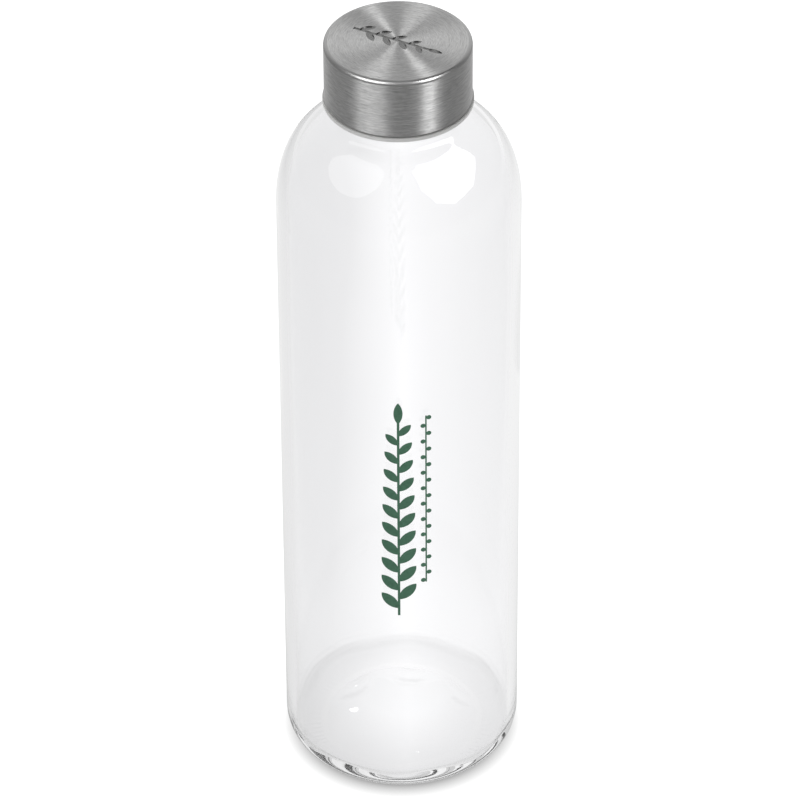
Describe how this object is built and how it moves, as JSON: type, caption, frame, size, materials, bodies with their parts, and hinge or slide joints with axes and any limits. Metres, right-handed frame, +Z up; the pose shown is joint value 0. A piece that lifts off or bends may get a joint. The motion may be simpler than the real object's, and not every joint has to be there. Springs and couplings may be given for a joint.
{
  "type": "glass water bottle",
  "caption": "Tall clear glass water bottle with rounded shoulders, a printed leaf sprig on its wall and a brushed steel screw cap over a threaded plastic liner.",
  "frame": {"origin": "centre of the ring that the bottle stands on, at the level of the table", "axes": "+Z up along the bottle's axis, the print faces -Y, +X is to the right as one faces the print"},
  "size_m": [0.07, 0.0702, 0.2484],
  "materials": {
    "glass": "clear soda-lime glass, blown, very smooth, almost colourless",
    "ink": "dark green screen-printed ceramic ink, satin",
    "steel": "stainless sheet brushed in circles about the cap's axis, with a polished rim",
    "glue": "cured bonding layer, hidden",
    "plastic": "milky translucent polypropylene, satin",
    "silicone": "white food-grade silicone, matt"
  },
  "bodies": {
    "bottle": {"glass_bottle": "glass", "print_sprig": "ink", "print_twig": "ink"},
    "seal": {"cap_gasket": "silicone"},
    "cap": {"cap_shell": "steel", "cap_adhesive": "glue", "cap_liner": "plastic"}
  },
  "joints": [
    {"name": "cap_lift", "type": "slide", "parent": "bottle", "child": "seal", "axis": [0, 0, 1], "range_m": [0, 0.021]},
    {"name": "cap_turn", "type": "hinge", "parent": "seal", "child": "cap", "pos_m": [0, 0, 0.2399], "axis": [0, 0, 1], "range_deg": [0, 1800]}
  ],
  "couplings": [
    {"joint": "cap_lift", "follows": "cap_turn", "m_per_rad": 0.00066845}
  ]
}
